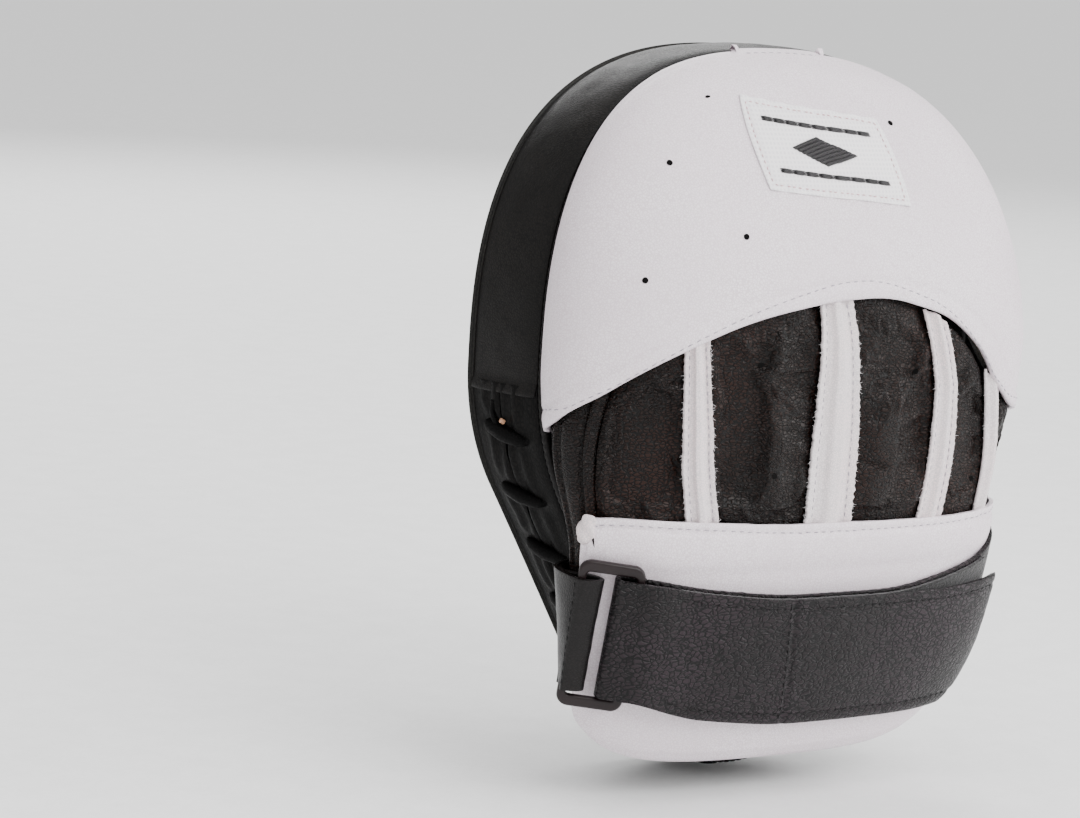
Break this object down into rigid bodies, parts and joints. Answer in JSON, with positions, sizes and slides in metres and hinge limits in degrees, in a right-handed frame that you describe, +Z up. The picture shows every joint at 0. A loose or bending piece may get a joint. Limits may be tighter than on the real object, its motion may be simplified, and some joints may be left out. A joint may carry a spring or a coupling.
{
  "type": "focus mitt",
  "caption": "Curved boxing focus mitt: padded strike face with a target dot, laced side wall, padded hood over finger stalls, padded cuff and a hook-and-loop wrist strap through a ring.",
  "frame": {"origin": "middle of the target dot's outer face", "axes": "+Z up along the fingers; the strike face looks along -Y and the hand side along +Y; +X is the thumb and ring side"},
  "size_m": [0.216, 0.0973, 0.2799],
  "materials": {
    "target_dot": "suede-edged white leather",
    "strike_panel": "matt black leather, fine grain",
    "strike_foam_outer": "closed-cell foam",
    "strike_foam_mid": "soft foam",
    "backing_board": "firm foam board",
    "back_panel": "black split leather",
    "upper_gusset": "satin black leather",
    "front_lacing_flap": "satin black leather",
    "back_lacing_flap": "satin black leather",
    "back_piping": "black leather binding",
    "lace": "black leather lace",
    "hood": "smooth white leather",
    "hood_padding": "soft foam",
    "hood_lining": "lining cloth",
    "label_patch": "woven patch, plain",
    "thumb_stall": "soft black leather",
    "index_stall": "soft black leather",
    "middle_stall": "soft black leather",
    "ring_stall": "soft black leather",
    "little_stall": "soft black leather",
    "side_stall": "soft black leather",
    "strip_index_middle": "raw-edged white leather",
    "strip_middle_ring": "raw-edged white leather",
    "strip_ring_little": "raw-edged white leather",
    "strip_little_side": "raw-edged white leather",
    "cuff_panel": "smooth white leather",
    "cuff_padding": "soft foam",
    "cuff_lining": "lining cloth",
    "strap_inner": "black pebbled leather",
    "loop_patch": "loop side of the fastener",
    "ring": "dark moulded plastic",
    "ring_tab": "black leather, folded double",
    "strap_bend": "black pebbled leather",
    "strap_outer_root": "black pebbled leather",
    "strap_outer_tip": "black pebbled leather",
    "hook_patch_root": "hook side of the fastener",
    "hook_patch_tip": "hook side of the fastener"
  },
  "bodies": {
    "mitt": {"target_dot": "target_dot", "strike_panel": "strike_panel", "strike_foam_outer": "strike_foam_outer", "strike_foam_mid": "strike_foam_mid", "backing_board": "backing_board", "back_panel": "back_panel", "upper_gusset": "upper_gusset", "front_lacing_flap": "front_lacing_flap", "back_lacing_flap": "back_lacing_flap", "back_piping": "back_piping", "lace": "lace", "hood": "hood", "hood_padding": "hood_padding", "hood_lining": "hood_lining", "label_patch": "label_patch", "thumb_stall": "thumb_stall", "index_stall": "index_stall", "middle_stall": "middle_stall", "ring_stall": "ring_stall", "little_stall": "little_stall", "side_stall": "side_stall", "strip_index_middle": "strip_index_middle", "strip_middle_ring": "strip_middle_ring", "strip_ring_little": "strip_ring_little", "strip_little_side": "strip_little_side", "cuff_panel": "cuff_panel", "cuff_padding": "cuff_padding", "cuff_lining": "cuff_lining", "strap_inner": "strap_inner", "loop_patch": "loop_patch", "ring_tab": "ring_tab"},
    "ring_and_bend": {"ring": "ring", "strap_bend": "strap_bend"},
    "strap_root": {"strap_outer_root": "strap_outer_root", "hook_patch_root": "hook_patch_root"},
    "strap_tip": {"strap_outer_tip": "strap_outer_tip", "hook_patch_tip": "hook_patch_tip"}
  },
  "joints": [
    {"name": "ring_swivel", "type": "hinge", "parent": "mitt", "child": "ring_and_bend", "pos_m": [0.09296, 0.06968, -0.10291], "axis": [-0.0081, -0.2232, -0.9747], "range_deg": [0, 25]},
    {"name": "strap_peel", "type": "hinge", "parent": "ring_and_bend", "child": "strap_root", "pos_m": [0.07425, 0.08374, -0.10598], "axis": [-0.0081, -0.2232, -0.9747], "range_deg": [0, 150]},
    {"name": "strap_fold", "type": "hinge", "parent": "strap_root", "child": "strap_tip", "pos_m": [0.0094, 0.0884, -0.116], "axis": [-0.1374, -0.2623, -0.9551], "range_deg": [0, 60]}
  ]
}
